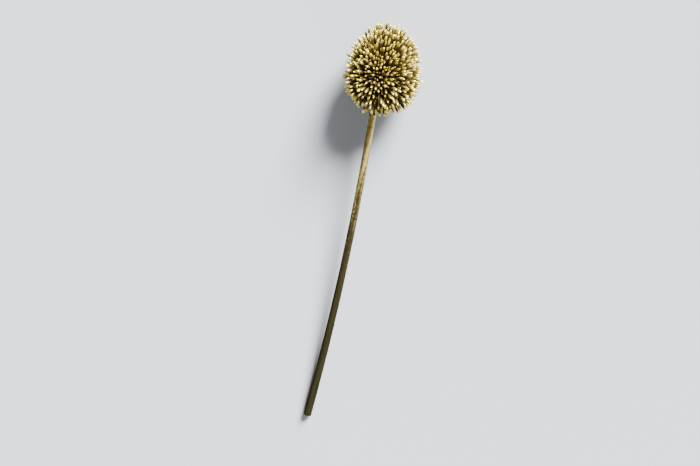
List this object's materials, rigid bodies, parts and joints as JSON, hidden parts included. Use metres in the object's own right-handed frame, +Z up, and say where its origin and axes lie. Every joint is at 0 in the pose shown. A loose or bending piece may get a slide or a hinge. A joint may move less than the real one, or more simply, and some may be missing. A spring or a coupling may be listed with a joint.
{
  "type": "drumstick allium flower head",
  "caption": "Cut flower lying down: an egg-shaped head of closed gold-painted buds on a slender, slightly bowed stem.",
  "frame": {"origin": "on the surface it lies on, under the middle of the whole flower's box", "axes": "+Y along the flower, from the cut end of the stem towards the head; +Z up from the surface; +X across"},
  "size_m": [0.0462, 0.2468, 0.0418],
  "materials": {
    "stem_gilding": "satin gold spray paint that thins out towards the cut end over a smooth green stem",
    "bud_gilding": "pale satin gold spray paint over closed buds, dark olive brown where it did not reach",
    "bract_gilding": "thin dry papery bract, dull gold over olive brown"
  },
  "bodies": {
    "root": {"stem": "stem_gilding", "spathe_valve_a": "bract_gilding", "spathe_valve_b": "bract_gilding", "floret_cluster_01": "bud_gilding", "floret_cluster_02": "bud_gilding", "floret_cluster_03": "bud_gilding", "floret_cluster_04": "bud_gilding", "floret_cluster_05": "bud_gilding", "floret_cluster_06": "bud_gilding", "floret_cluster_07": "bud_gilding", "floret_cluster_08": "bud_gilding", "floret_cluster_09": "bud_gilding", "floret_cluster_10": "bud_gilding", "floret_cluster_11": "bud_gilding", "floret_cluster_12": "bud_gilding", "floret_cluster_13": "bud_gilding", "floret_cluster_14": "bud_gilding", "floret_cluster_15": "bud_gilding", "floret_cluster_16": "bud_gilding", "floret_cluster_17": "bud_gilding", "floret_cluster_18": "bud_gilding", "floret_cluster_19": "bud_gilding", "floret_cluster_20": "bud_gilding", "floret_cluster_21": "bud_gilding", "floret_cluster_22": "bud_gilding", "floret_cluster_23": "bud_gilding", "floret_cluster_24": "bud_gilding", "floret_cluster_25": "bud_gilding", "floret_cluster_26": "bud_gilding", "floret_cluster_27": "bud_gilding", "floret_cluster_28": "bud_gilding", "floret_cluster_29": "bud_gilding", "floret_cluster_30": "bud_gilding", "floret_cluster_31": "bud_gilding", "floret_cluster_32": "bud_gilding", "floret_cluster_33": "bud_gilding", "floret_cluster_34": "bud_gilding", "floret_cluster_35": "bud_gilding"}
  },
  "joints": []
}
